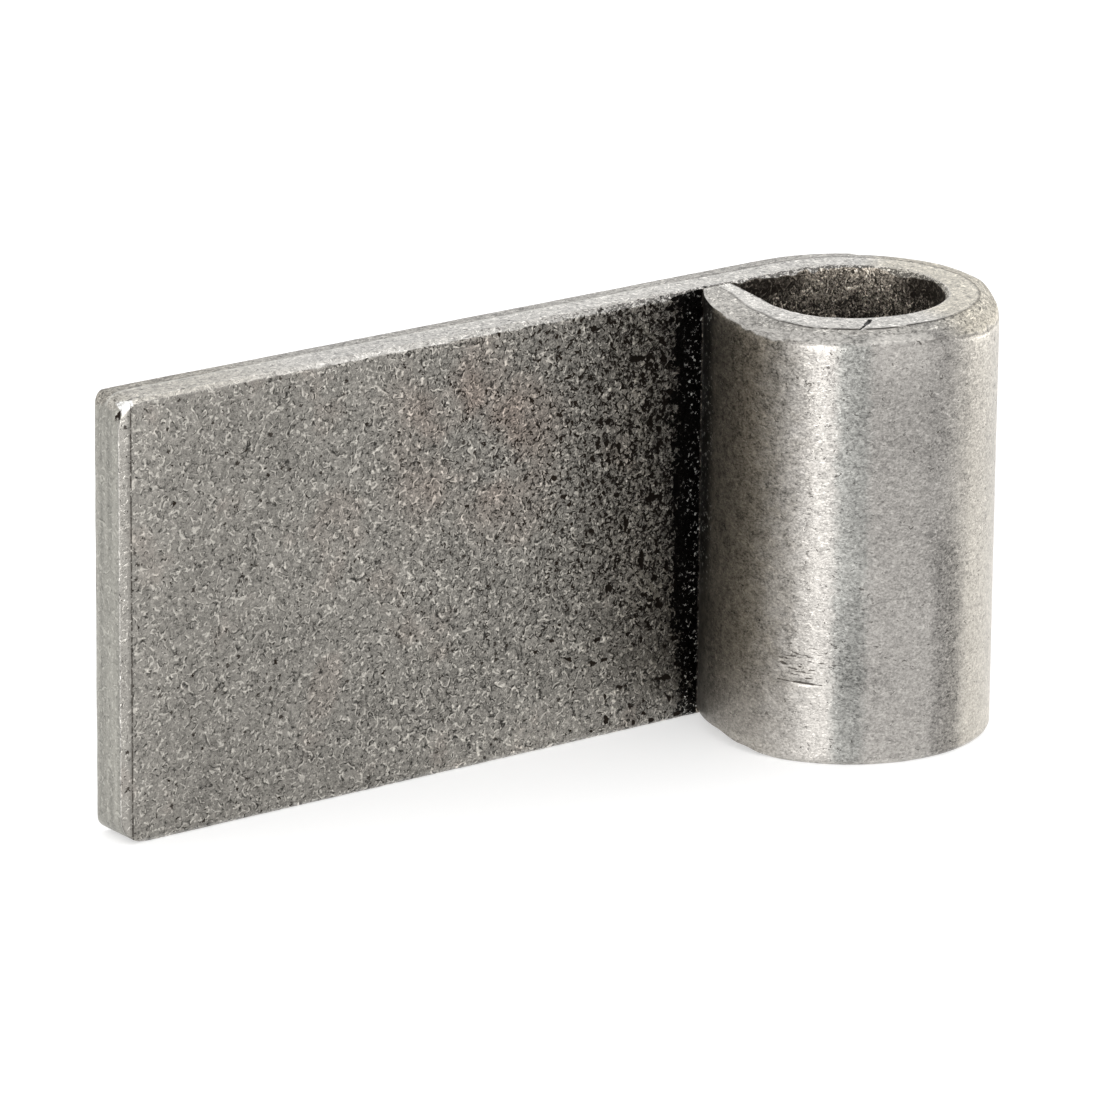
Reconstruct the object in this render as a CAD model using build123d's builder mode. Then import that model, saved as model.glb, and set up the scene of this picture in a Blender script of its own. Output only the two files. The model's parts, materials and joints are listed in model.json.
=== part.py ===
"""Weld-on hinge leaf: a flat steel bar with one end rolled into an eye for a hinge pin.

The whole leaf is one piece of hot-rolled bar. Its flat is welded to a gate, a door or a flap,
and the eye turns on a pin. The eye closes on the leaf's own front face, where the scarfed lip
stands against it along an open seam.

Frame, in millimetres: the origin is on the bore's axis at the lower end of the eye, +Z runs up
the bore, the leaf runs towards -X, and its front face, which the lip closes on, looks to -Y.
"""

from build123d import *
from math import acos, atan2, cos, degrees, radians, sin, sqrt
import os

# --- the bar --------------------------------------------------------------------------------
bar_width = 40.0  # along the bore, and so the length of the eye
bar_thickness = 4.9  # a 5 mm flat bar at the low side of its rolling tolerance
leaf_reach = 72.2  # from the bore's axis to the sheared free end

# --- the bar's long edges, as rolled --------------------------------------------------------
front_bevel = 0.4  # upper edge of the front face, and so of the bore's mouth
back_shoulder = 2.0  # width of the soft shoulder on the upper edge of the back face
back_shoulder_drop = 0.25  # how far that shoulder falls
lower_break = 0.3  # both edges of the lower end

# --- the rolled eye -------------------------------------------------------------------------
pin_diameter = 16.0  # the hinge pin that the eye is rolled for
pin_clearance = 0.3  # between the pin and the bore, all round
lip_land = 3.1  # width of the scarfed tip, where it meets the leaf's face
tip_draw = 0.4  # the tip's outer corner lies this far inside the eye's true outside
tip_draw_arc = 20.0  # degrees before the tip, where the outside starts to draw in
seam_gap = 0.12  # the tip stays this far off the leaf's face

# --- the eye's upper shoulder ---------------------------------------------------------------
# Rolling stretches the outside of the bar and draws that edge down below the bore's mouth.
# A cone whose axis stands off the bore's cuts the shoulder: nothing at the lip, most opposite.
cone_offset = 1.0  # from the bore's axis to the cone's
cone_heading = 120.0  # degrees round from +X, the side where the shoulder fades out
cone_slope = 0.5  # fall of the cone for each millimetre outwards

# --- the free end ---------------------------------------------------------------------------
dressed_edge = 0.8  # burr dressed off the front upright edge, measured along the leaf
dressed_depth = 0.5  # the same, measured into the bar
shear_roll = 0.5  # back upright edge, drawn over by the shear
upper_corner = 1.0  # radius of the upper corner
lower_corner = 2.0  # radius of the lower corner

bore_radius = pin_diameter / 2 + pin_clearance
eye_radius = bore_radius + bar_thickness

# the tip's two corners, and the angles from +X at which its two sides leave their circles
tip_y = bore_radius - seam_gap
tip_outer = Vector(-sqrt((eye_radius - tip_draw) ** 2 - tip_y**2), tip_y)
tip_inner = tip_outer + Vector(lip_land, 0)
leaves_bore = degrees(atan2(tip_inner.Y, tip_inner.X) + acos(bore_radius / tip_inner.length))
leaves_outside = degrees(atan2(tip_outer.Y, tip_outer.X)) + tip_draw_arc

with BuildPart() as hinge_leaf:
    # the bar's section, where the straight leaf runs into the eye
    with BuildSketch(Plane.YZ) as bar_section:
        with BuildLine():
            Polyline(
                (bore_radius + lower_break, 0),
                (eye_radius - lower_break, 0),
                (eye_radius, lower_break),
                (eye_radius, bar_width - back_shoulder_drop),
                (eye_radius - back_shoulder, bar_width),
                (bore_radius + front_bevel, bar_width),
                (bore_radius, bar_width - front_bevel),
                (bore_radius, lower_break),
                close=True,
            )
        make_face()

    # the eye: the section turned round the bore's axis ...
    revolve(axis=Axis.Z)

    # ... its upper shoulder drawn down ...
    heading = radians(cone_heading)
    cone_axis = Axis((cone_offset * cos(heading), cone_offset * sin(heading), 0), (0, 0, 1))
    crease_radius = eye_radius - cone_offset
    cutter_radius = eye_radius + 2 * cone_offset
    cutter_top = bar_width + cone_slope * (crease_radius - bore_radius)
    cutter_foot = bar_width - cone_slope * (cutter_radius - crease_radius)
    with BuildSketch(Plane(cone_axis.position, x_dir=(1, 0, 0), z_dir=(0, -1, 0))):
        with BuildLine():
            Polyline(
                (bore_radius, cutter_top),
                (cutter_radius, cutter_foot),
                (cutter_radius, cutter_top),
                close=True,
            )
        make_face()
    revolve(axis=cone_axis, mode=Mode.SUBTRACT)

    # ... and its outline seen along the pin, from the leaf round to the scarfed tip of the lip
    with BuildSketch():
        with BuildLine():
            bore_wall = CenterArc((0, 0), bore_radius, 90, leaves_bore - 360 - 90)
            Polyline(bore_wall @ 1, tip_inner, tip_outer)
            outside = CenterArc((0, 0), eye_radius, 90, leaves_outside - 360 - 90)
            TangentArc(outside @ 1, tip_outer, tangent=outside % 1)
            Line(outside @ 0, bore_wall @ 0)
        make_face()
    extrude(amount=bar_width, mode=Mode.INTERSECT)

    # the straight leaf
    extrude(bar_section.sketch, amount=-leaf_reach)

    # its free end, as sheared and dressed
    free_end = hinge_leaf.faces().sort_by(Axis.X)[0]
    upright_edges = free_end.edges().filter_by(Axis.Z).sort_by(Axis.Y)
    chamfer(upright_edges[0], dressed_depth, dressed_edge, reference=free_end)
    upright_edges = hinge_leaf.edges().filter_by(Axis.Z).group_by(Axis.X)[0].sort_by(Axis.Y)
    chamfer(upright_edges[-1], shear_roll)

    # the bar's face seen square on, which gives the free end its two rounded corners
    with BuildSketch(Plane.XZ):
        with Locations((-leaf_reach, 0)):
            face_outline = Rectangle(leaf_reach + 2 * eye_radius, bar_width, align=(Align.MIN, Align.MIN))
        free_corners = face_outline.vertices().group_by(Axis.X)[0].sort_by(Axis.Z)
        fillet(free_corners[0], lower_corner)
        fillet(free_corners[-1], upper_corner)
    extrude(amount=2 * eye_radius, both=True, mode=Mode.INTERSECT)

hinge_leaf.part.label = "hinge_leaf"
os.makedirs("parts", exist_ok=True)
export_step(hinge_leaf.part, "parts/hinge_leaf.step")
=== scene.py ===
"""Weld-on hinge leaf with a rolled eye: the worn steel piece, its finish and a plain studio.

The piece is made the way the real one is. A straight bar is cut up finely, its edges, corners and
marks are worked into it, and then its end is rolled round the bore, so every mark is placed on the
straight bar: `run` along it from the free end, `depth` from the face that becomes the bore, and
`height` up the bore. Those three are kept on the mesh for the finish to use. The shape is worked
out in millimetres and brought to metres at the end.
"""

import json
from math import acos, atan2, cos, degrees, exp, hypot, pi, radians, sin, sqrt
from types import SimpleNamespace

import bmesh
import bpy
from bpy.props import FloatProperty, FloatVectorProperty, PointerProperty
from bpy.types import Operator, Panel, PropertyGroup
from mathutils import Matrix, Vector, noise


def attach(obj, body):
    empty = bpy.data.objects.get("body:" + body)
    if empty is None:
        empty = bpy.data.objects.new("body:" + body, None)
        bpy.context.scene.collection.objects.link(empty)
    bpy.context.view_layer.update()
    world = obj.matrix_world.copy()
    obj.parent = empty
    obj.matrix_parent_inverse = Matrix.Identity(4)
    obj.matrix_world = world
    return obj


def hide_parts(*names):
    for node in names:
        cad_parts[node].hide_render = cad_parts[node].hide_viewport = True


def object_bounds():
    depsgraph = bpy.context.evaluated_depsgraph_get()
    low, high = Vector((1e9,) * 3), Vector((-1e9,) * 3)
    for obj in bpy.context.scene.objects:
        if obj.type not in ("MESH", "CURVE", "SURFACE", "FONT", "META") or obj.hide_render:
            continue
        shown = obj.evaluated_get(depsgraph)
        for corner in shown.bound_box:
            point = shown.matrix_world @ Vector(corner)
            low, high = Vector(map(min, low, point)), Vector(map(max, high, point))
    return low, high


bl_info = {
    "name": "Weld-on hinge leaf",
    "version": (1, 0, 0),
    "blender": (4, 5, 0),
    "location": "3D View > Sidebar > Hinge",
    "description": "Builds a weld-on hinge leaf with a rolled eye, its worn steel finish and a studio",
    "category": "Object",
}

MM = 0.001
LOOKED_AT = Vector((-33.04, 0, 21.89)) * MM  # the camera looks at this point

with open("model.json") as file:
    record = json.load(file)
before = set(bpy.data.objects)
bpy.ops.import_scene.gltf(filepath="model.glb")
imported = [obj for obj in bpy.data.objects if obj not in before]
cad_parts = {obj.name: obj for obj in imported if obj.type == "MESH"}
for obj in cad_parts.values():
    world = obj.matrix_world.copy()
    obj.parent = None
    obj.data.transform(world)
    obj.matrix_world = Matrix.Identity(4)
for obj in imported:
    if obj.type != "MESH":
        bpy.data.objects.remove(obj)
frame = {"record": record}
cad_low, cad_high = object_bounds()
pin_bore = next(m for m in frame["record"]["mounts"] if m["name"] == "pin_bore")


# --- what a user may change --------------------------------------------------------------------
def length(name, description, value):
    """A length property, whose value is given in metres."""
    limits = {"min": 0.0, "unit": "LENGTH", "precision": 5}
    return FloatProperty(name=name, description=description, default=value, **limits)


def colour(name, description, value):
    """A colour property."""
    limits = {"size": 3, "min": 0.0, "max": 1.0, "subtype": "COLOR"}
    return FloatVectorProperty(name=name, description=description, default=value, **limits)


def angle(name, description, value):
    """An angle property, whose value is given in degrees."""
    return FloatProperty(name=name, description=description, default=radians(value), unit="ROTATION")


class LeafSizes(PropertyGroup):
    """Sizes of the bar and its rolled eye."""

    reach: length("Leaf reach", "From the bore's axis to the free end", -cad_low.x)
    width: length("Bar width", "Height of the leaf and of the eye", cad_high.z)
    eye_radius: length("Eye radius", "Outside of the rolled eye", cad_high.x)
    bore_radius: length("Bore radius", "Inside of the rolled eye", pin_bore["dims"]["r_mm"] * MM)
    lip_land: length("Lip land", "Width of the scarfed tip where it meets the leaf", 3.1 * MM)
    tip_draw: length("Tip draw", "The tip's outer corner lies this far inside the eye's outside", 0.1 * MM)
    tip_draw_arc: angle("Tip draw arc", "Where the outside starts to draw in, before the tip", 20)
    seam_gap: length("Seam gap", "Open gap between the tip and the leaf's face", 0.12 * MM)
    upper_corner: length("Upper corner", "Radius of the free end's upper corner", 2.1 * MM)
    lower_corner: length("Lower corner", "Radius of the free end's lower corner", 2.4 * MM)
    dressed_edge: length("Dressed edge", "Bevel of the free end's front edge, along the leaf", 0.8 * MM)
    dressed_depth: length("Dressed depth", "The same bevel, measured into the bar", 0.5 * MM)
    unevenness: length("Unevenness", "How far the rolled skin wanders inwards", 0.045 * MM)


class FinishColours(PropertyGroup):
    """Colours of the worn steel."""

    steel: colour("Steel", "Tumbled grey steel", (0.250, 0.238, 0.216))
    barrel: colour("Rolled steel", "The eye's outside, brightened by the rolls", (0.285, 0.272, 0.255))
    cool: colour("Cool steel", "Greenish grey beside the eye's brightest strip", (0.255, 0.270, 0.258))
    warm: colour("Warm steel", "Warmer grey round the far side of the eye", (0.300, 0.278, 0.238))
    sheared: colour("Sheared steel", "The free end's smooth face", (0.300, 0.292, 0.262))
    worn: colour("Worn steel", "Rubbed edges and the sheared upper face", (0.46, 0.445, 0.42))
    beige: colour("Beige steel", "The upper face at the free end and at the eye's back", (0.46, 0.43, 0.37))
    crease: colour("Crease", "Pale line along the leaf's upper crease", (0.62, 0.61, 0.57))
    # painted highlight: the struck corner's bare steel is painted near white
    facet: colour("Facet", "Bare steel of the free end's struck corner", (0.90, 0.89, 0.86))
    # painted glints: near-white specks painted into the black corner and along the lip's edge
    glint: colour("Glint", "Bright specks in the black corner", (0.85, 0.84, 0.80))
    blush: colour("Blush", "Thin rust tint in patches", (0.242, 0.204, 0.178))
    brown: colour("Brown scale", "Thin brown mill scale on the lip's side", (0.112, 0.098, 0.076))
    cavity: colour("Bore scale", "Brown scale inside the bore", (0.345, 0.305, 0.255))
    scale: colour("Black scale", "Mill scale in the pits and flakes", (0.022, 0.017, 0.013))
    # also paints the shadow along the lip's edge beside the seam, over its scale
    soot: colour("Soot", "Unworn scale deep in the corner", (0.006, 0.0055, 0.005))


class StudioSettings(PropertyGroup):
    """Camera, lights and floor."""

    azimuth: angle("Azimuth", "The way round the piece that the camera stands", -36.71)
    elevation: angle("Elevation", "How far above the level the camera stands", 17.64)
    roll: angle("Roll", "Turn of the camera about its own line of sight", 0.554)
    distance: length("Distance", "From the camera to the point that it looks at", 0.74375)
    lens: FloatProperty(name="Lens", description="Focal length", default=279.6, unit="CAMERA")
    floor: colour("Floor", "Pale floor, which is also lit from below", (0.62, 0.62, 0.62))
    surround: FloatProperty(
        name="Surround", description="Brightness of the white surround", default=1.22, min=0.0, max=10.0
    )


# --- the bar and how it is rolled --------------------------------------------------------------
def between(knots, at):
    """The value at a place on a smooth line through (place, value) pairs, level past both ends."""
    if at <= knots[0][0]:
        return knots[0][1]
    for (a, start), (b, end) in zip(knots, knots[1:]):
        if at <= b:
            part = (at - a) / (b - a)
            return start + (end - start) * part * part * (3 - 2 * part)
    return knots[-1][1]


def steps(start, *stretches):
    """Places along one direction of the bar, from (end, cells) pairs."""
    places = [start]
    for end, cells in stretches:
        first = places[-1]
        places += [first + (end - first) * i / cells for i in range(1, cells + 1)]
    return places


def bump(at, centre, half_width):
    """1 at the centre, falling smoothly to nothing about two half-widths away."""
    return exp(-(((at - centre) / half_width) ** 2))


def past(excess, softness=0.06):
    """How far a point stands past a cut, rounded over where the cut begins."""
    return 0.5 * (excess + hypot(excess, softness)) if excess > -8 * softness else 0.0


def wander(place, grain, seed=0.0):
    """Smooth noise from 0 to 1 with features about `grain` millimetres across."""
    return 0.5 + 0.5 * noise.noise(place / grain + Vector((seed, -seed, 2 * seed)))


class Bar:
    """The straight bar, the marks on it and the rolled eye, in millimetres."""

    # Each of these lines is a row of (turn, millimetres) pairs. A turn is in degrees round the bore
    # from the end of the straight leaf, whose own turns are negative.
    # the bevel of the front upper edge
    front_edge = (
        (-380, 0.42), (-145, 0.48), (-80, 0.63), (-56, 0.10), (-20, 0.22), (0, 0.30),
        (56, 0.16), (68, 0.75), (78, 0.50), (99, 0.24), (127, 0.44), (154, 0.32),
        (190, 0.20), (219, 0.40), (243, 0.54), (266, 0.27), (284, 0.12),
    )
    # the depth at which the upper shoulder's crease lies
    crease = (
        (0, 2.9), (150, 3.1), (187, 3.2), (210, 3.7), (235, 3.9),
        (250, 3.4), (266, 2.5), (298, 1.8), (308, 2.4),
    )
    # how far the shoulder falls from its crease to the outside
    fall = (
        (-60, 0.25), (0, 0.25), (76, 0.28), (98, 0.45), (120, 1.15), (140, 1.70),
        (152, 1.60), (166, 1.25), (180, 0.82), (200, 0.95), (255, 1.00), (262, 0.88),
        (268, 0.62), (281, 0.34), (300, 0.12), (308, 0.03),
    )
    # how far the lip's lower face rises to the outside, over its outer `lift_depth`
    lift = ((246, 0.0), (262, 0.6), (278, 1.15), (300, 1.2))
    lift_depth = 3.2

    lip_turn = 270.0  # degrees of true circle before the lip straightens
    end_turn = 308.0  # the whole roll

    # no edge is worked further in than this
    upper_worked = 3.0
    lower_worked = 1.5
    end_worked = 4.0
    tip_worked = 2.0

    def __init__(self, sizes):
        self.reach = sizes.reach / MM
        self.width = sizes.width / MM
        self.bore = sizes.bore_radius / MM
        self.eye = sizes.eye_radius / MM
        self.thickness = self.eye - self.bore
        self.middle = (self.bore + self.eye) / 2
        self.upper_corner = sizes.upper_corner / MM
        self.lower_corner = sizes.lower_corner / MM
        self.dressed_edge = sizes.dressed_edge / MM
        self.dressed_depth = sizes.dressed_depth / MM
        self.unevenness = sizes.unevenness / MM
        self.set_lip(sizes)
        self.seam = self.reach + self.tip_outer.x

    def set_lip(self, sizes):
        """The tip's corners, and the places where its two sides leave their circles."""
        tip_y = self.bore - sizes.seam_gap / MM
        tip_radius = self.eye - sizes.tip_draw / MM
        outer = Vector((-sqrt(tip_radius**2 - tip_y**2), tip_y))
        inner = outer + Vector((sizes.lip_land / MM, 0))
        self.tip_outer, self.tip_inner = outer, inner
        self.leaves_bore = atan2(inner.y, inner.x) + acos(self.bore / inner.length)
        self.leaves_outside = atan2(outer.y, outer.x) + sizes.tip_draw_arc

    def turn_at(self, run):
        """Degrees round the bore, counted from the end of the straight leaf; the leaf's are negative."""
        return degrees((run - self.reach) / self.middle)

    def run_at(self, turn):
        """The place along the straight bar that comes to lie at a turn."""
        return self.reach + radians(turn) * self.middle

    def lip_inside(self, part):
        """The bore side of the lip: a little more of the circle, then straight to the tip."""
        start = self.bore * Vector((cos(self.leaves_bore), sin(self.leaves_bore)))
        arc = self.bore * (pi - self.leaves_bore)
        line = (self.tip_inner - start).length
        gone = part * (arc + line)
        if gone < arc:
            heading = pi - gone / self.bore
            return self.bore * Vector((cos(heading), sin(heading)))
        return start.lerp(self.tip_inner, (gone - arc) / line)

    def lip_outside(self, part):
        """The outside of the lip: the circle, then an arc that draws in to the tip."""
        start = self.eye * Vector((cos(self.leaves_outside), sin(self.leaves_outside)))
        along = Vector((sin(self.leaves_outside), -cos(self.leaves_outside)))
        chord = self.tip_outer - start
        bend = along.angle_signed(chord)
        arc = self.eye * (pi - self.leaves_outside)
        gone = part * (arc + chord.length)
        if gone < arc:
            heading = pi - gone / self.eye
            return self.eye * Vector((cos(heading), sin(heading)))
        share = (gone - arc) / chord.length
        along.rotate(Matrix.Rotation(-bend * share, 2))
        return start + along * chord.length * sin(bend * share) / sin(bend)

    def roll(self, place):
        """Takes a place on the straight bar to where the rolled eye carries it."""
        run, depth, height = place
        if run <= self.reach:
            return Vector((run - self.reach, self.bore + depth, height))
        turn = self.turn_at(run)
        if turn <= self.lip_turn:
            radius = self.bore + depth
            return Vector((radius * sin(radians(turn)), radius * cos(radians(turn)), height))
        part = min(1.0, (turn - self.lip_turn) / (self.end_turn - self.lip_turn))
        flat = self.lip_inside(part).lerp(self.lip_outside(part), depth / self.thickness)
        return Vector((flat.x, flat.y, height))


# --- what forging, shearing and use have left on the bar ---------------------------------------
def plane_cut(place, normal, through, softness=0.06):
    """Pushes a place back behind a plane, and says how far it stood past it."""
    excess = (place - through).dot(normal)
    return place - normal * past(excess, softness), excess


def rubbing(excess, rim=0.9, strip=0.4, half_width=0.07):
    """How much a cut's skin is rubbed: most on its rim, less over its strip."""
    return max(rim * bump(excess, 0.0, half_width), strip if excess > half_width else 0.0)


def break_front_edge(bar, place, turn):
    """The front upper bevel, which wanders, with ragged chips beside the eye."""
    run = place.x
    bevel = between(bar.front_edge, turn)
    bevel *= 0.6 + 0.8 * wander(Vector((run, 0, 0)), 1.5, 3)
    beside_eye = bump(turn, 4, 42)
    chips = max(0.0, wander(Vector((run, 0, 0)), 1.4, 8) - 0.45) * 3.0
    chips += 0.45 * wander(Vector((run, 5, 0)), 0.9, 9)
    bevel += beside_eye * 0.9 * chips - 0.25 * beside_eye
    rim = 0.9 if place.z > bar.width - 0.2 else 0.3
    outwards = Vector((0, -1, 1)).normalized()
    place, excess = plane_cut(place, outwards, Vector((0, bevel, bar.width)), 0.05)
    return place, rubbing(excess, rim, 0.3)


def slope_shoulder(bar, place, turn):
    """The upper face's fall to the outside, and the rounding under it on the eye."""
    inner = between(bar.crease, turn)
    drop = between(bar.fall, turn)
    drop *= 0.93 + 0.14 * wander(Vector((place.x, 1, 0)), 2.6, 5)
    slope = Vector((0, drop, bar.thickness - inner)).normalized()
    place, _ = plane_cut(place, slope, Vector((0, inner, bar.width)), 0.08)
    if 40 < turn < 285:
        roll_over = Vector((0, 1, 0.7)).normalized()
        start = bar.width - drop - between(((95, 0.1), (130, 0.4)), turn)
        place, _ = plane_cut(place, roll_over, Vector((0, bar.thickness, start)), 0.22)
    return place


def break_lower_edges(bar, place):
    """The small even breaks of both lower edges."""
    rubbed = 0.0
    lower = 0.24 + 0.14 * wander(Vector((place.x, 2, 0)), 1.5, 7)
    for side, depth in ((-1, lower), (1, bar.thickness - lower)):
        outwards = Vector((0, side, -1)).normalized()
        place, excess = plane_cut(place, outwards, Vector((0, depth, 0)))
        rubbed = max(rubbed, rubbing(excess, 0.6, 0.6))
    return place, rubbed


def break_long_edges(bar, place):
    """The four long edges, and the lifted lower edge of the lip."""
    height, turn = place.z, bar.turn_at(place.x)
    rubbed = 0.0
    if height > bar.width - bar.upper_worked:
        place, rubbed = break_front_edge(bar, place, turn)
        place = slope_shoulder(bar, place, turn)
    lift = between(bar.lift, turn)
    if height < bar.lift_depth - 0.2 and lift > 0.01:
        outwards = Vector((0, lift, -bar.lift_depth)).normalized()
        start = Vector((0, bar.thickness - bar.lift_depth, 0))
        place, _ = plane_cut(place, outwards, start, 0.08)
    if height < bar.lower_worked:
        place, rubbed = break_lower_edges(bar, place)
    return place, rubbed


def round_end_corners(bar, place):
    """The free end's two corners, rounded about their own centres."""
    for radius, middle, way in (
        (bar.upper_corner, bar.width - bar.upper_corner, 1),
        (bar.lower_corner, bar.lower_corner, -1),
    ):
        out = Vector((min(0.0, place.x - radius), 0, max(0.0, way * (place.z - middle)) * way))
        if out.x < 0 and out.z != 0:
            place = place - out.normalized() * past(out.length - radius, 0.1)
    return place


def work_free_end(bar, place):
    """The sheared free end: dressed front edge, drawn-over back edge, rounded corners and a nick."""
    run, _, height = place
    if run > bar.end_worked:
        return place, 0.0, 0.0
    edge = bar.dressed_edge * (0.86 + 0.28 * wander(Vector((0, 0, height)), 2.2, 11))
    outwards = Vector((-bar.dressed_depth, -edge, 0)).normalized()
    place, excess = plane_cut(place, outwards, Vector((edge, 0, 0)), 0.05)
    rubbed = rubbing(excess, 1.0 if run < 0.2 else 0.1, 0.15)
    shear = 0.45 + 0.15 * wander(Vector((0, 1, height)), 3.0, 12)
    outwards = Vector((-1, 1, 0)).normalized()
    place, _ = plane_cut(place, outwards, Vector((shear, bar.thickness, 0)), 0.35)
    outwards = Vector((-1, -0.9, 1.0)).normalized()
    place, excess = plane_cut(place, outwards, Vector((0.5, 0.3, bar.width - 0.8)))
    rubbed = max(rubbed, rubbing(excess, 2.0, 2.0))
    place = round_end_corners(bar, place)
    nick = 0.0
    if place.x < 0.9:
        nick = bump(place.y, 0.85, 0.36) * bump(place.z, bar.width - 1.5, 0.60)
    place.x += 0.28 * nick
    return place, rubbed, nick


def soften_tip(bar, place):
    """The scarfed tip's own edges."""
    end = bar.run_at(bar.end_turn)
    if end - place.x > bar.tip_worked:
        return place
    for side, depth in ((-1, 0.05), (1, bar.thickness - 0.05)):
        place, _ = plane_cut(place, Vector((1, side, 0)).normalized(), Vector((end, depth, 0)), 0.04)
    place, _ = plane_cut(place, Vector((1, 0, 1)).normalized(), Vector((end, 0, bar.width - 0.03)), 0.02)
    return place


def wear_skin(bar, place):
    """The rolled skin's own unevenness, always inwards, and scale pits on the front near the eye."""
    skin_depth = 0.9
    front = max(0.0, 1 - place.y / skin_depth)
    back = max(0.0, 1 - (bar.thickness - place.y) / skin_depth)
    top = max(0.0, 1 - (bar.width - place.z) / skin_depth)
    foot = max(0.0, 1 - place.z / skin_depth)
    broad, fine = wander(place, 8.5, 21), wander(place, 1.6, 22)
    inwards = bar.unevenness * (0.65 * broad + 0.35 * fine)
    near_eye = max(0.0, min(1.0, (place.x - bar.seam + 26) / 22))
    flake = wander(place, 0.95, 23) * 0.65 + wander(place, 0.5, 24) * 0.35
    pit = max(0.0, min(1.0, (flake - 0.70 + 0.12 * near_eye) / 0.10)) if front > 0 else 0.0
    pit *= min(1.0, place.x / 8) if place.x < bar.seam + 0.5 else 0.2
    place = place.copy()
    place.y += front * (inwards + 0.09 * pit) - back * inwards
    place.z += foot * 0.5 * inwards * wander(place, 5.0, 25) - top * inwards
    return place, front * pit * (0.55 + 0.45 * near_eye)


def gouge(point, a, b, half_width):
    """How deep in a groove from a to b a point of the skin lies, from 0 outside it to 1 on its line."""
    line = b - a
    along = max(0.0, min(1.0, (point - a).dot(line) / line.length_squared))
    away = (point - a - line * along).length
    return bump(away, 0.0, half_width) * min(1.0, 4 * along + 0.4, 4 * (1 - along) + 0.4)


def crack_line(bar):
    """The crack in the eye's upper face, seen from above: its points and half-widths."""
    start, knee = Vector((bar.run_at(208.4), 1.0)), Vector((bar.run_at(211.5), 2.3))
    end = Vector((bar.run_at(214.8), 3.7))
    return (start, knee, 0.18), (knee, end, 0.08)


def scratch_line(bar):
    """The long scratch low on the eye's front: all of it, thin, and then its deeper middle."""
    start, end = Vector((bar.run_at(245), 7.6)), Vector((bar.run_at(227), 7.4))
    return (start, end, 0.035), (start.lerp(end, 0.38), start.lerp(end, 0.80), 0.07)


def add_marks(bar, place):
    """The crack in the eye's upper face and the scratch low on its front."""
    turn = bar.turn_at(place.x)
    if 195 < turn < 230 and place.z > bar.width - 2.5:
        depth = max(gouge(place.xy, *line) for line in crack_line(bar))
        place.z -= 0.2 * depth
    if 205 < turn < 255 and place.y > 4 and 5 < place.z < 12:
        start, end, _ = scratch_line(bar)[1]
        place.y -= 0.05 * gouge(place.xz, start, end, 0.12)
    return place


# --- the piece -------------------------------------------------------------------------------
def fine_block(bm, cells):
    """A closed unit block cut into cells along x, y and z."""
    bmesh.ops.create_cube(bm, size=1.0)
    for axis, count in enumerate(cells):
        crossed = [e for e in bm.edges if abs(e.verts[0].co[axis] - e.verts[1].co[axis]) > 0.5]
        bmesh.ops.subdivide_edges(bm, edges=crossed, cuts=count - 1, use_grid_fill=True)


def build_leaf_mesh(bar):
    """The whole leaf as one closed mesh in metres, with its straight-bar places and wear kept on it."""
    # the cells are finest at the edges and under the crack and the scratch
    leaf = (2.5, 16), (bar.reach - 25.2, 70), (bar.reach, 64)
    eye = (bar.run_at(200), 84), (bar.run_at(245), 70), (bar.run_at(bar.end_turn), 36)
    runs = steps(0.0, *leaf, *eye)
    depths = steps(0.0, (0.6, 6), (bar.thickness - 0.6, 18), (bar.thickness, 6))
    lower, scratched = ((1.2, 10), (6.3, 10)), (11.3, 26)
    upper = (bar.width - 3.5, 40), (bar.width - 1, 8), (bar.width, 10)
    heights = steps(0.0, *lower, scratched, *upper)
    places = (runs, depths, heights)
    bm = bmesh.new()
    fine_block(bm, [len(axis) - 1 for axis in places])
    straight = bm.verts.layers.float_vector.new("straight")
    rubbed = bm.verts.layers.float.new("rubbed")
    sooty = bm.verts.layers.float.new("sooty")
    past_crease = bm.verts.layers.float.new("past_crease")
    for vert in bm.verts:
        place = Vector(axis[round((vert.co[i] + 0.5) * (len(axis) - 1))] for i, axis in enumerate(places))
        vert[straight] = place
        place, pit = wear_skin(bar, place)
        vert[past_crease] = place.y - between(bar.crease, bar.turn_at(place.x))
        place, edge_rub = break_long_edges(bar, place)
        place, end_rub, nick = work_free_end(bar, place)
        place = soften_tip(bar, place)
        place = add_marks(bar, place)
        vert[rubbed] = max(edge_rub, end_rub)
        vert[sooty] = max(pit, 0.75 * nick)
        vert.co = bar.roll(place) * MM
    bmesh.ops.recalc_face_normals(bm, faces=bm.faces)
    for face in bm.faces:
        face.smooth = True
    mesh = bpy.data.meshes.new("hinge_leaf_dressed")
    bm.to_mesh(mesh)
    bm.free()
    mesh.set_sharp_from_angle(angle=radians(52))
    return mesh


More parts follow.
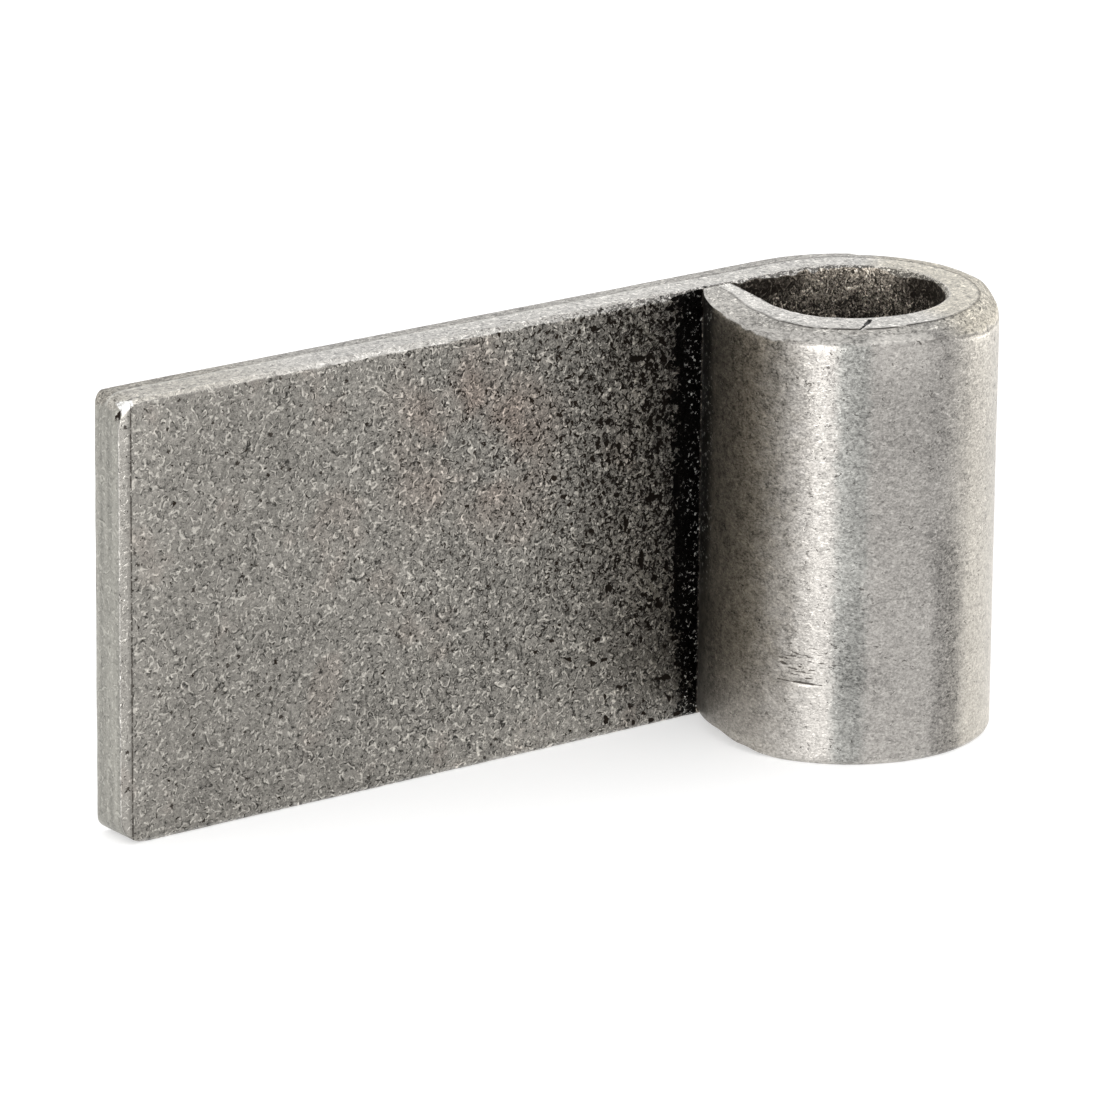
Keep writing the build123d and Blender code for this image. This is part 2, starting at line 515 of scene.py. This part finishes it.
# --- shader maths ------------------------------------------------------------------------------
class Wire:
    """A shader socket that takes part in Python expressions."""

    def __init__(self, graph, socket):
        self.graph, self.socket = graph, socket

    def maths(self, operation, *others):
        values = dict(enumerate((self, *others)))
        return self.graph.node("ShaderNodeMath", {"operation": operation}, values).wire(0)

    def __add__(self, other):
        return self.maths("ADD", other)

    def __sub__(self, other):
        return self.maths("SUBTRACT", other)

    def __rsub__(self, other):
        return (self * -1.0) + other

    def __mul__(self, other):
        return self.maths("MULTIPLY", other)

    __radd__, __rmul__ = __add__, __mul__

    def most(self, *others):
        """The largest of several values."""
        largest = self
        for other in others:
            largest = largest.maths("MAXIMUM", other)
        return largest

    def least(self, other):
        return self.maths("MINIMUM", other)

    def off(self, value):
        """How far from a value this one is."""
        return (self - value).maths("ABSOLUTE")

    def distance_to(self, point):
        return self.graph.vector("DISTANCE", 1, self, point)

    def rise(self, start, end):
        """0 before start, 1 past end, smooth between; start may be the larger."""
        settings = {"interpolation_type": "SMOOTHSTEP"}
        values = {"Value": self, "From Min": start, "From Max": end, "To Min": 0.0, "To Max": 1.0}
        if start > end:
            values.update({"From Min": end, "From Max": start, "To Min": 1.0, "To Max": 0.0})
        return self.graph.node("ShaderNodeMapRange", settings, values).wire(0)


class Made:
    """A node that was made, with its outputs as wires."""

    def __init__(self, graph, node):
        self.graph, self.node = graph, node

    def wire(self, output):
        return Wire(self.graph, self.node.outputs[output])


class Graph:
    """A material's node tree."""

    def __init__(self, name):
        self.material = bpy.data.materials.new(name)
        self.material.use_nodes = True
        self.tree = self.material.node_tree
        self.tree.nodes.clear()

    def node(self, kind, settings=None, values=None):
        """Any node: its type, its settings, which are set first, and its sockets' values or wires."""
        node = self.tree.nodes.new(kind)
        for name, value in (settings or {}).items():
            setattr(node, name, value)
        for name, value in (values or {}).items():
            if isinstance(value, Wire):
                self.tree.links.new(value.socket, node.inputs[name])
            else:
                node.inputs[name].default_value = value
        return Made(self, node)

    def attribute(self, name, output):
        return self.node("ShaderNodeAttribute", {"attribute_name": name}).wire(output)

    def parts(self, vector):
        node = self.node("ShaderNodeSeparateXYZ", None, {0: vector})
        return [node.wire(i) for i in range(3)]

    def join(self, *parts):
        """A vector from up to three values."""
        return self.node("ShaderNodeCombineXYZ", None, dict(enumerate(parts))).wire(0)

    def vector(self, operation, output, *values, scale=None):
        sockets = dict(enumerate(values))
        if scale is not None:
            sockets["Scale"] = scale
        return self.node("ShaderNodeVectorMath", {"operation": operation}, sockets).wire(output)

    def blend(self, share, first, second):
        """A mix of two colours."""
        sockets = {0: share, 6: solid(first), 7: solid(second)}
        return self.node("ShaderNodeMix", {"data_type": "RGBA"}, sockets).wire(2)

    def cloud(self, place, grain, detail=2.0, roughness=0.5, distortion=0.0, seed=0.0):
        """Noise about 0.5 with features about `grain` millimetres across."""
        moved = self.vector("ADD", 0, place, (seed, 1.7 * seed, -seed))
        sockets = {"Vector": moved, "Scale": 1 / grain, "Detail": detail}
        sockets.update({"Roughness": roughness, "Distortion": distortion})
        return self.node("ShaderNodeTexNoise", None, sockets).wire(0)


def solid(value):
    """A colour for a socket: a wire as it is, or three numbers with a full alpha."""
    return value if isinstance(value, Wire) else (*value, 1.0)


def ridges(graph, place, grain, width, share, seed):
    """Short curled ridges along a noise's level lines: above 0 on their lit side, below on the other."""
    level = (graph.cloud(place, grain, 1.0, 0.5, seed=seed) - 0.5) * (1.7 * grain / width)
    shown = graph.cloud(place, grain * 0.42, 0.0, seed=seed + 9.0).rise(share, share + 0.10)
    lit = level.rise(0.0, 0.3) * level.rise(1.0, 0.7)
    shaded = level.rise(0.0, -0.3) * level.rise(-1.0, -0.7)
    return (lit - shaded * 0.7) * shown


def dots(graph, place, cell, largest, share, seed):
    """Round-edged dots of many sizes, one to a cell at most, in a share of the cells."""
    wobble = graph.node("ShaderNodeTexNoise", None, {"Vector": place, "Scale": 5.5, "Detail": 1.0})
    bent = graph.vector("MULTIPLY_ADD", 0, wobble.wire(1), (0.5,) * 3, place)
    shifted = graph.vector("ADD", 0, bent, (seed, -seed, seed * 1.9))
    cells = graph.node("ShaderNodeTexVoronoi", {"feature": "F1"}, {"Vector": shifted, "Scale": 1 / cell})
    size, chosen, _ = graph.parts(cells.wire(1))
    radius = (size * 0.7 + 0.3) * (largest / cell) * chosen.rise(1 - share - 0.01, 1 - share)
    return (radius - cells.wire(0)).rise(0.0, 0.05)


def line_mark(graph, flat, start, end, half_width):
    """1 within half_width of the line from start to end on a flat map of the skin."""
    along = Vector((*(end - start), 0.0))
    from_start = graph.vector("SUBTRACT", 0, flat, (*start, 0.0))
    share = graph.vector("DOT_PRODUCT", 1, from_start, tuple(along / along.length_squared))
    nearest = graph.vector("SCALE", 0, tuple(along), scale=share.most(0.0).least(1.0))
    return from_start.distance_to(nearest).rise(half_width * 1.5, half_width * 1.1)


# --- the steel's finish ------------------------------------------------------------------------
# It is put together from groups of values. `at` says where a point lay on the straight bar, `grit`
# is the texture of the skin, `where` holds masks that are 1 in one place of the piece and 0 outside
# it, and `marks` holds the scale, the cracks and the scuffs. Lengths are in millimetres and turns
# in degrees, as on the bar.
def bar_places(graph, bar):
    """Where a point lay on the straight bar, and the wear that the mesh keeps for it."""
    at = SimpleNamespace()
    at.place = graph.attribute("straight", "Vector")
    at.run, at.depth, at.height = graph.parts(at.place)
    at.turn = (at.run - bar.reach) * degrees(1 / bar.middle)
    at.ragged = graph.cloud(at.place, 1.3, 3.0, 0.6, seed=4.0) - 0.5
    rolled = (at.run - bar.reach).most(0.0)
    at.skin = graph.join(at.run - rolled * 0.12, at.depth, at.height)
    at.rubbed = graph.attribute("rubbed", "Fac")
    at.sooty = graph.attribute("sooty", "Fac")
    at.past_crease = graph.attribute("past_crease", "Fac")
    _, _, at.facing_up = graph.parts(graph.node("ShaderNodeTexCoord").wire("Normal"))
    return at


def skin_texture(graph, bar, at):
    """The grain of tumbled hot-rolled skin, its curled ridges, and the noises that scale is cut from."""
    grit = SimpleNamespace()
    skin, place = at.skin, at.place
    beside = graph.vector("ADD", 0, skin, (0.10, 0.0, -0.12))
    grit.flecks, grit.shade = (
        graph.cloud(spot, 0.29, 2.0, 0.7, 0.6, seed=1.0).rise(0.62, 0.68) for spot in (skin, beside)
    )
    grit.grain = (graph.cloud(skin, 0.55, 2.0, 0.9, 0.7, seed=41.0) - 0.5) * 3.0
    grit.fine = (graph.cloud(skin, 0.25, 2.0, 0.9, 0.5, seed=37.0) - 0.5) * 3.0
    grit.speckle = (graph.cloud(skin, 0.17, 1.0, 0.8, seed=2.0) - 0.5) * 2.6
    small = ridges(graph, skin, 0.70, 0.13, 0.53, 11.0)
    long = ridges(graph, skin, 1.5, 0.16, 0.54, 91.0)
    long = long * at.depth.rise(bar.thickness - 0.2, bar.thickness - 0.6)
    grit.lit, grit.shaded = small.most(long), small.least(long)
    grit.broad = graph.cloud(place, 7.0, 3.0, 0.5, seed=3.0)
    grit.flake = graph.cloud(place, 0.45, 2.0, 0.6, 0.9, seed=6.0)
    grit.large_flake = graph.cloud(place, 0.8, 3.0, 0.8, 0.9, seed=16.0)
    grit.bore_flake = graph.cloud(place, 0.19, 2.0, 0.9, 0.5, seed=26.0)
    upright = graph.vector("MULTIPLY", 0, place, (1.0, 1.0, 0.04))
    grit.bands = graph.cloud(upright, 0.9, 2.0, seed=45.0)
    drawn = graph.vector("MULTIPLY", 0, place, (1.0, 1.0, 0.4))
    grit.smears = graph.cloud(drawn, 0.6, 2.0, seed=33.0)
    return grit


def worn_places(bar, at, grit):
    """Masks of the places that look different from the plain skin; some of them are painted light and
    shade.
    """
    run, depth, height, turn, ragged = at.run, at.depth, at.height, at.turn, at.ragged
    where = SimpleNamespace()
    front = depth.rise(0.5, 0.15)
    outside = depth.rise(bar.thickness - 0.5, bar.thickness - 0.15)
    outside = outside * run.rise(bar.reach - 4, bar.reach + 4)
    upwards = (at.facing_up + ragged * 0.9).rise(0.32, 0.50)
    not_up = 1.0 - upwards
    in_bore = front * run.rise(bar.seam - 0.15, bar.seam + 0.15) * not_up
    on_leaf = 1.0 - in_bore
    where.front, where.outside, where.upwards = front, outside, upwards
    where.in_bore, where.on_leaf = in_bore, on_leaf

    # the free end: its face, the line behind its dressed edge, and the dressed strip itself
    where.end_face = run.rise(0.5, 0.3) * depth.rise(0.4, 0.6) * not_up
    where.dressed = run.off(0.93).rise(0.12, 0.05) * front * grit.flake.rise(0.36, 0.46)
    where.strip = front * run.rise(0.92, 0.80)

    # the leaf: scale that thickens towards the eye, and the black corner
    low = height.rise(14, 1)
    wavering = run + ragged * 6.0
    where.near_eye = wavering.rise(bar.seam - 23, bar.seam - 1) * front * (1.0 - low * 0.65) * on_leaf
    where.flaky = wavering.rise(bar.seam - 44, bar.seam - 8) * front * height.rise(2, 24) * on_leaf
    torn = run + ragged * 3.5 + (grit.flake - 0.5) * 4.5 + (grit.large_flake - 0.5) * 3.0 - low * 1.5
    where.corner = torn.rise(bar.seam - 3.4, bar.seam - 2.8) * front * on_leaf * not_up
    rust_centre = (bar.seam - 25.0, 0.0, 31.0)
    where.rust = at.place.distance_to(rust_centre).rise(13.0, 3.0) * grit.broad.rise(0.34, 0.62)

    # the upper edges: the shoulder, its crease, and the chips beside the eye
    crease = at.past_crease.maths("ABSOLUTE").rise(0.26, 0.02) * upwards
    where.shoulder = at.past_crease.rise(-0.05, 0.1) * upwards
    where.leaf_crease = crease * turn.rise(-45, -75)
    darker_in_front = turn.rise(165, 195) * turn.rise(262, 235) * 0.45 + 0.5
    where.eye_crease = crease * (ragged + 0.5).rise(0.28, 0.45) * turn.rise(-60, -30) * darker_in_front
    where.chipped = at.rubbed * front * turn.off(4.0).rise(64, 48)
    where.slanted = at.facing_up.rise(0.06, 0.3) * outside * turn.rise(200, 180)
    where.beige = (turn.rise(184, 160) * turn.rise(40, 60)).most(run.rise(22, 8) * 0.6)

    # the eye's outside, from its lip round to the back
    # the lip's edge beside the seam: scale, darkened further by a painted shadow
    where.lip_edge = (turn + ragged * 6.0).rise(282, 290) * outside * not_up * height.rise(11, 17)
    # the brown fades low down, where the eye is painted lighter as a reflection of the floor
    lower_fade = height.rise(1, 11) * 0.55 + 0.45
    where.lip_side = (turn + ragged * 24.0).rise(227, 262) * outside * not_up * lower_fade
    where.cool = (turn + ragged * 8.0).off(217.0).rise(9, 3) * outside
    # a darker band that leans across the eye's outside on its right
    leaning = turn + ragged * 8.0 - height.rise(14, 26) * 7.0
    where.stain = leaning.off(175.0).rise(11, 3) * outside
    where.warm = turn.rise(184, 160) * outside

    # the bore: painted light on its far wall, and painted shade on its rim to both sides of that
    off_far_wall = turn.off(37.0)
    high = (height + ragged * 2.0).rise(bar.width - 6.5, bar.width - 1.5)
    where.far_wall = off_far_wall.rise(62, 14) * high
    at_rim = (height + ragged * 3.0).rise(bar.width - 2.6, bar.width - 1.6)
    where.bore_rim = in_bore * at_rim * off_far_wall.rise(20, 42)
    return where


def scale_and_marks(graph, bar, at, grit, where):
    """Pits, scale, cracks and scuffs, and how black each makes the skin; also the painted shadow along the
    lip's edge and the painted glints.
    """
    place, run, height, turn, ragged = at.place, at.run, at.height, at.turn, at.ragged
    outside, near_eye = where.outside, where.near_eye
    marks = SimpleNamespace()

    # scale in flakes and specks, and in crevices between the curled ridges near the eye
    flakes = (grit.flake + near_eye * 0.08 + where.flaky * 0.09).rise(0.67, 0.71)
    large_flakes = (grit.large_flake + near_eye * 0.16).rise(0.70, 0.73) * near_eye.rise(0.05, 0.2)
    specks = dots(graph, place, 1.15, 0.25, 0.42, 5.0) * (1.0 - outside * 0.5) * 0.85
    pits = flakes.most(large_flakes, specks)
    pits = pits * (1.0 - where.upwards * 0.3) * (1.0 - where.end_face * 0.7) * (1.0 - outside * 0.35)
    marks.pits = pits.most((at.sooty + (grit.flake - 0.5) * 1.3).rise(0.40, 0.55))
    crevices = ridges(graph, place, 0.9, 0.14, 0.40, 71.0).maths("ABSOLUTE") * near_eye.rise(0.3, 0.8)

    # rolling streaks under the shoulder
    swept = graph.vector("MULTIPLY", 0, place, (0.12, 1.0, 1.0))
    streaks = graph.cloud(swept, 0.30, 1.0, 0.5, seed=8.0).rise(0.55, 0.75) * outside
    marks.streaks = streaks * height.rise(35.0, 38.0) * turn.rise(215, 205)

    # the chafed patch low on the eye's front, in short dashes, and the scratch under it
    chafed = graph.vector("MULTIPLY", 0, place, (0.35, 1.0, 1.3))
    dashes = graph.cloud(chafed, 0.30, 1.0, 0.6, seed=61.0)
    across, up = (turn - 235.6) * (1 / 10.0), (height - 9.4) * (1 / 1.8)
    chafing = (across * across + up * up + ragged).rise(1.3, 0.7) * outside
    marks.brightened = chafing * dashes.rise(0.45, 0.38)
    scuffs = dashes.rise(0.57, 0.62) * chafing
    unrolled = graph.join(run, height + ragged * 0.15)
    thin, deep = (line_mark(graph, unrolled, *line) for line in scratch_line(bar))
    scratch = thin.most(deep) * outside

    # how black: scale, then soot and a painted shadow over it, then painted glints
    # scale inside the bore, with the painted shade of its rim
    bore_scale = (where.in_bore * grit.bore_flake.rise(0.47, 0.56)).most(where.bore_rim)
    marks.black = marks.pits.most(
        where.eye_crease,
        crevices * 0.75,
        bore_scale * 0.8,
        scuffs * 0.8,
        scratch * 0.85,
        where.dressed * 0.75,
    )
    seen_from_above = graph.join(run, at.depth)
    wide, narrow = (line_mark(graph, seen_from_above, *line) for line in crack_line(bar))
    crack = wide.most(narrow) * height.rise(bar.width - 2, bar.width - 1)
    sooted_scale = marks.black * near_eye.rise(0.2, 0.7) * 0.5
    marks.soot = where.corner.most(crack, where.lip_edge * 0.85, sooted_scale)
    # painted glints: bright specks painted into the black corner and the lip's edge
    glints = dots(graph, place, 0.29, 0.15, 0.7, 51.0) * (run + ragged).rise(bar.seam - 2.4, bar.seam - 1.0)
    gathered = graph.cloud(place, 0.45, 0.0, seed=55.0).rise(0.35, 0.65)
    marks.sparkle = glints * where.corner.most(where.lip_edge) * gathered
    return marks


def leaf_tone(bar, at, grit, where, tone):
    """Adds what the leaf and the upper edges change in the texture's tone, some of it painted light and
    shade.
    """
    run, height, turn = at.run, at.height, at.turn
    front, upwards, end_face = where.front, where.upwards, where.end_face
    before_corner = run.rise(bar.seam - 12, bar.seam - 6) * front * where.on_leaf
    tone = tone + before_corner * (height.rise(3, 14) * 0.75 - 0.25)
    lower_middle = height.rise(7, 1) * run.rise(26, 44)
    tone = tone + (1.0 - where.outside) * (lower_middle * 0.22 - 0.14)
    # painted light: the leaf's front is painted lighter towards the free end
    tone = tone * (1.0 - end_face * 0.55) + run.rise(9.0, 0.0) * front * 0.16
    top = (grit.flake - 0.5) * 2.1 + 0.14 - run.rise(18, 8) * 0.15 - run.rise(52, 40) * 0.08
    tone = tone * (1.0 - upwards * 0.50) + upwards * top
    # painted shade: the shoulder is painted darker, against the right softbox's highlight on it
    tone = tone - where.shoulder * 0.14 + upwards * turn.rise(266, 274) * 0.2
    # painted highlight: a lighter band on the end face along the drawn-over back edge
    drawn_over = at.depth.rise(4.0, 4.7) * 0.22
    tone = tone + end_face * (drawn_over + 0.02 + (grit.bands - 0.5) * 0.9)
    worn_rim = at.rubbed * front * height.rise(37, 39) * run.rise(48, 30)
    return tone + worn_rim * 0.6 + where.chipped * 0.6 - where.strip * 0.18


def eye_tone(at, grit, where, marks, tone):
    """Adds the lighter and darker places of the eye's outside and its bore, many of them painted
    highlights, reflections and shade.
    """
    height, turn, outside, lip_side = at.height, at.turn, where.outside, where.lip_side
    # painted reflection of the floor: the eye's outside is painted lighter towards its foot
    tone = tone + outside * (height.rise(9, 0) * 0.16 + height.rise(34, 8) * 0.19 - 0.05)
    # painted reflection: the eye's right-hand edge is painted lighter; painted shade: its slanted upper
    # faces there are painted darker
    tone = tone + outside * turn.rise(168, 162) * 0.12 - where.slanted * 0.22
    tone = tone - where.stain * (height.rise(25, 15) * 0.34 + 0.12)
    tone = tone - where.cool * (height.rise(18, 11) * 0.22 + 0.10)
    # painted highlights: a strip that widens the eye's highlight, and a patch under the shoulder; painted
    # shade low on the lip's side and in a low band
    bright_strip = turn.off(227.0).rise(8, 3) * outside * height.rise(36, 33)
    under_shoulder = outside * height.rise(34, 37) * turn.off(196.0).rise(18, 8)
    lip_shade = outside * turn.rise(270, 284) * height.rise(17, 8)
    low_shade = outside * height.off(8.3).rise(3.0, 0.5) * turn.off(211.0).rise(16, 6)
    tone = tone + bright_strip * 0.12 + under_shoulder * 0.30 - lip_shade * 0.30 - low_shade * 0.16
    # painted reflection of the floor: the lip's side is painted lighter at its foot; the smears are its
    # brown scale
    tone = tone + lip_side * height.rise(5, 0) * 0.55 + lip_side * (grit.smears - 0.5) * 1.3
    tone = tone + lip_side * height.rise(1.9, 1.1) * (grit.fine * 0.8 + 0.3)
    tone = tone + marks.brightened * 0.25
    # the bore is darker, but its far wall is lighter with painted light
    return tone + where.in_bore * (where.far_wall * 1.2 - 0.68)


def skin_tone(bar, at, grit, where, marks):
    """How much lighter or darker than its colour each point is: 0.1 is a tenth lighter."""
    run, outside, lip_side = at.run, where.outside, where.lip_side
    # the texture, which is weaker on the rolled outside and towards the free end
    tone = grit.grain * (0.84 - outside * 0.46)
    tone = tone + grit.fine * (0.46 + run.rise(6, 40) * 0.16 - outside * 0.12)
    tone = tone + grit.speckle * (0.42 - outside * 0.02)
    tone = tone + (grit.flecks * 0.85 - grit.shade * 0.40) * (1.0 - outside * 0.6)
    tone = tone + marks.streaks * 0.15
    tone = tone + grit.lit * (1.20 - outside * 0.96)
    tone = tone + grit.shaded * (0.90 - outside * 0.70)
    tone = tone * (run.rise(6, 44) * 0.30 + 0.70)
    # painted glints: the bright flecks are painted stronger near the eye
    tone = tone + (grit.broad - 0.5) * 0.30 + grit.flecks * where.near_eye * 0.5
    # stronger in brown scale and in the bore, weaker on the dressed strip
    tone = tone + lip_side * (grit.flake - 0.5) * 1.1
    tone = tone * (lip_side * 0.25 + 1.0) * (where.in_bore + 1.0) * (1.0 - where.strip * 0.6)
    tone = leaf_tone(bar, at, grit, where, tone)
    return eye_tone(at, grit, where, marks, tone)


def skin_colour(graph, colours, at, grit, where, marks, tone):
    """The steel's colour: each layer is a mask, and the colour that it brings."""
    outside = where.outside
    blush = where.rust.most(grit.broad.rise(0.58, 0.68) * 0.3) * (1.0 - outside)
    base = graph.blend(outside, colours.steel, colours.barrel)
    for mask, layer in (
        (blush, colours.blush),
        (where.cool * 0.38, colours.cool),
        (where.warm * 0.6, colours.warm),
        (where.end_face, colours.sheared),
        (where.upwards * (1.0 - where.shoulder * 0.35), colours.worn),
        (where.upwards * where.beige, colours.beige),
        (at.rubbed * 0.85, colours.worn),
        # painted highlight on the struck corner's facet
        (at.rubbed.rise(1.2, 1.8), colours.facet),
        (where.near_eye * 0.08, colours.scale),
        (where.lip_side * 0.85, colours.brown),
        (where.in_bore, colours.cavity),
    ):
        base = graph.blend(mask, base, layer)
    base = graph.vector("SCALE", 0, base, scale=(tone + 1.0).most(0.15))
    for mask, layer in (
        (where.leaf_crease * 0.5, colours.crease),
        (marks.black, colours.scale),
        (marks.soot, colours.soot),
        (marks.sparkle, colours.glint),
    ):
        base = graph.blend(mask, base, layer)
    return base


def steel_finish(bar, colours):
    """Raw hot-rolled bar, tumbled grey, with mill scale left in the corner, the pits and the bore."""
    graph = Graph("raw_steel_worn")
    at = bar_places(graph, bar)
    grit = skin_texture(graph, bar, at)
    where = worn_places(bar, at, grit)
    marks = scale_and_marks(graph, bar, at, grit, where)
    tone = skin_tone(bar, at, grit, where, marks)
    base = skin_colour(graph, colours, at, grit, where, marks, tone)

    # gloss and relief
    rough = grit.speckle * 0.06 + 0.40 + marks.black * 0.15
    rough = rough + (where.shoulder * 0.2).most(where.slanted * 0.3)
    relief = grit.grain * 0.08 + grit.fine * 0.12 + grit.speckle * 0.08
    relief = relief + grit.flecks * 0.30 + grit.lit * 0.25
    relief = relief * (1.0 - where.outside * 0.78) - marks.pits * 0.8
    bumped = graph.node("ShaderNodeBump", None, {"Strength": 1.0, "Distance": 0.06 * MM, "Height": relief})
    metal = 1.0 - where.in_bore * 0.5 * (1.0 - marks.black)
    values = {"Base Color": base, "Metallic": metal, "Roughness": rough, "Normal": bumped.wire(0)}
    shaded = graph.node("ShaderNodeBsdfPrincipled", None, values)
    graph.node("ShaderNodeOutputMaterial", None, {"Surface": shaded.wire(0)})
    return graph.material


def floor_finish(shade):
    """A plain pale floor with a faint unevenness."""
    graph = Graph("pale_floor")
    place = graph.node("ShaderNodeTexCoord").wire("Object")
    soft = graph.node("ShaderNodeTexNoise", None, {"Vector": place, "Scale": 6.0, "Detail": 2.0}).wire(0)
    tint = graph.blend(soft * 0.02, shade, (0.8, 0.8, 0.8))
    lit = {"Emission Color": (1.0, 1.0, 1.0, 1.0), "Emission Strength": 0.45}
    skin = graph.node("ShaderNodeBsdfPrincipled", None, {"Base Color": tint, "Roughness": 0.7, **lit})
    graph.node("ShaderNodeOutputMaterial", None, {"Surface": skin.wire(0)})
    return graph.material


# --- studio ------------------------------------------------------------------------------------
def show(name, data):
    """Links a new object at the origin to the scene."""
    shown = bpy.data.objects.new(name, data)
    bpy.context.scene.collection.objects.link(shown)
    return shown


def away(azimuth, elevation):
    """The direction from the piece to a camera or light at these angles."""
    level = cos(elevation)
    return Vector((sin(azimuth) * level, -cos(azimuth) * level, sin(elevation)))


def add_camera(studio):
    """The camera and its lens."""
    data = bpy.data.cameras.new("camera")
    data.lens, data.sensor_width = studio.lens, 36.0
    data.clip_start, data.clip_end = 0.01, 20.0
    camera = show("camera", data)
    back = away(studio.azimuth, studio.elevation)
    turned = back.to_track_quat("Z", "Y").to_matrix() @ Matrix.Rotation(studio.roll, 3, "Z")
    camera.matrix_world = Matrix.LocRotScale(LOOKED_AT + back * studio.distance, turned, None)
    bpy.context.scene.camera = camera


def add_softbox(name, azimuth, elevation, distance, width, height, brightness):
    """A flat soft light that looks at the eye's middle; brightness is the radiance of its face."""
    data = bpy.data.lights.new(name, "AREA")
    data.shape, data.size, data.size_y = "RECTANGLE", width, height
    data.energy = brightness * pi * width * height
    lamp = show(name, data)
    lamp.visible_camera = False
    back = away(radians(azimuth), radians(elevation))
    place = Vector((0, 0, cad_high.z / 2)) + back * distance
    lamp.matrix_world = Matrix.LocRotScale(place, back.to_track_quat("Z", "Y"), None)


# --- operators ---------------------------------------------------------------------------------
class HINGE_OT_leaf(Operator):
    """Builds the dressed leaf over the plain one and gives it its worn steel finish"""

    bl_idname = "hinge.leaf"
    bl_label = "Build hinge leaf"

    def execute(self, context):
        bar = Bar(context.scene.hinge_sizes)
        leaf = show("hinge_leaf_dressed", build_leaf_mesh(bar))
        leaf.data.materials.append(steel_finish(bar, context.scene.hinge_colours))
        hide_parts("hinge_leaf")
        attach(leaf, "root")
        return {"FINISHED"}


class HINGE_OT_studio(Operator):
    """Builds the pale floor, the soft lights and the camera"""

    bl_idname = "hinge.studio"
    bl_label = "Build studio"

    def execute(self, context):
        scene = context.scene
        studio = scene.hinge_studio
        bm = bmesh.new()
        bmesh.ops.create_circle(bm, cap_ends=True, segments=96, radius=4.0)
        mesh = bpy.data.meshes.new("floor")
        bm.to_mesh(mesh)
        bm.free()
        floor = show("floor", mesh)
        mesh.materials.append(floor_finish(studio.floor))

        add_camera(studio)
        left = {"azimuth": -60, "elevation": 4, "distance": 0.45}
        right = {"azimuth": 80, "elevation": 4, "distance": 0.50}
        add_softbox("left softbox", **left, width=0.07, height=0.10, brightness=46.0)
        add_softbox("right softbox", **right, width=0.28, height=0.08, brightness=19.0)

        world = bpy.data.worlds.new("surround")
        world.use_nodes = True
        surround = world.node_tree.nodes["Background"].inputs
        surround["Color"].default_value = (1.0, 1.0, 1.0, 1.0)
        surround["Strength"].default_value = studio.surround
        scene.world = world
        scene.view_settings.view_transform = "Standard"
        return {"FINISHED"}


class HINGE_PT_panel(Panel):
    """Sizes, colours and studio of the hinge leaf"""

    bl_label = "Weld-on hinge leaf"
    bl_idname = "HINGE_PT_panel"
    bl_space_type = "VIEW_3D"
    bl_region_type = "UI"
    bl_category = "Hinge"

    def draw(self, context):
        layout = self.layout
        layout.use_property_split = True
        for settings, operator in (
            (context.scene.hinge_sizes, HINGE_OT_leaf),
            (context.scene.hinge_colours, None),
            (context.scene.hinge_studio, HINGE_OT_studio),
        ):
            column = layout.column(align=True)
            for name in settings.__annotations__:
                column.prop(settings, name)
            if operator:
                layout.operator(operator.bl_idname)


CLASSES = (LeafSizes, FinishColours, StudioSettings, HINGE_OT_leaf, HINGE_OT_studio, HINGE_PT_panel)


def register():
    for each in CLASSES:
        bpy.utils.register_class(each)
    bpy.types.Scene.hinge_sizes = PointerProperty(type=LeafSizes)
    bpy.types.Scene.hinge_colours = PointerProperty(type=FinishColours)
    bpy.types.Scene.hinge_studio = PointerProperty(type=StudioSettings)


def unregister():
    del bpy.types.Scene.hinge_studio
    del bpy.types.Scene.hinge_colours
    del bpy.types.Scene.hinge_sizes
    for each in reversed(CLASSES):
        bpy.utils.unregister_class(each)


def main():
    register()
    bpy.ops.hinge.leaf()
    bpy.ops.hinge.studio()


if __name__ == "__main__":
    main()
